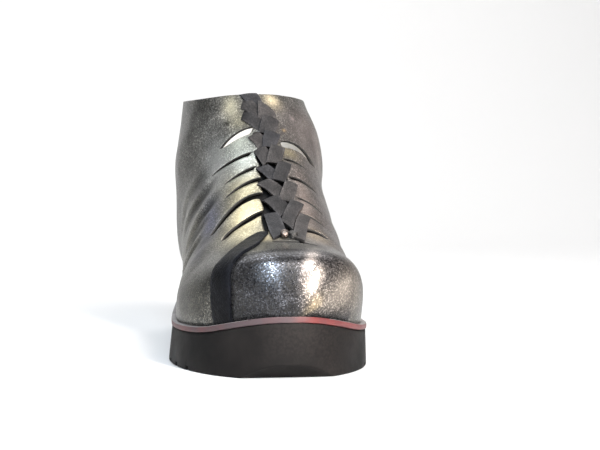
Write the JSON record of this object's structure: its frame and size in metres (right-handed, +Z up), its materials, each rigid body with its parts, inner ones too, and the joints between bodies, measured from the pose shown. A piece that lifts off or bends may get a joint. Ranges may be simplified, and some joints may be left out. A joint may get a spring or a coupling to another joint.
{
  "type": "ankle boot",
  "caption": "Right-foot slip-on ankle boot of crackled metallic leather, with a black lace plaited through slits down the instep, a red-edged welt and a thick black rubber wedge sole.",
  "frame": {"origin": "on the ground under the centre of the boot's outer box", "axes": "+Z up, +Y from the toe to the heel, +X to the inner (medial) side of the foot"},
  "size_m": [0.1007, 0.269, 0.1421],
  "materials": {
    "rubber": "matte moulded black rubber, a little dusty",
    "edge_red": "worn dull red edge paint on a grey leather layer",
    "footbed": "natural lining leather",
    "pewter": "crackled foil leather, gunmetal to pale gold",
    "black_leather": "matte black flat lace",
    "knot_leather": "dark grey rolled lace end"
  },
  "bodies": {
    "root": {"outsole": "rubber", "midsole": "edge_red", "insole": "footbed", "upper": "pewter", "braid": "black_leather", "vamp_strap": "black_leather", "lace_knot": "knot_leather"}
  },
  "joints": []
}
